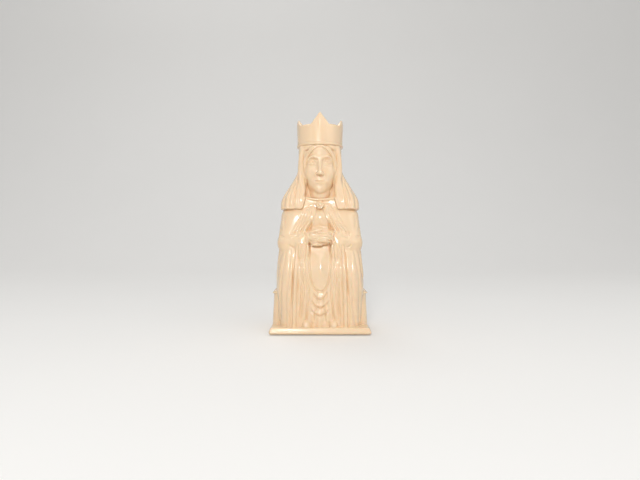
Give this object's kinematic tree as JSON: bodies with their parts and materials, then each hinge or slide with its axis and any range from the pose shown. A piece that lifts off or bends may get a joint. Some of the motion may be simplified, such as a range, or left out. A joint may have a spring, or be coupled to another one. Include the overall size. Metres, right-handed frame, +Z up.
{
  "type": "figural chess queen",
  "caption": "Figural chess queen seated on a low bench, hands folded, with a separate pointed crown and a weighted, felted base.",
  "frame": {"origin": "on the table under the middle of the base, the lowest point being the felt pad", "axes": "+Z up through the crown, -Y the way the queen faces, +X to her left"},
  "size_m": [0.0406, 0.031, 0.09],
  "materials": {
    "ivory_plastic": "glossy warm ivory",
    "base_plastic": "satin warm ivory",
    "iron": "rough grey casting",
    "felt": "dark green wool felt"
  },
  "bodies": {
    "root": {"front_shell": "ivory_plastic", "back_shell": "ivory_plastic", "crown": "ivory_plastic", "base_plate": "base_plastic", "ballast_slug": "iron", "felt_pad": "felt"}
  },
  "joints": []
}
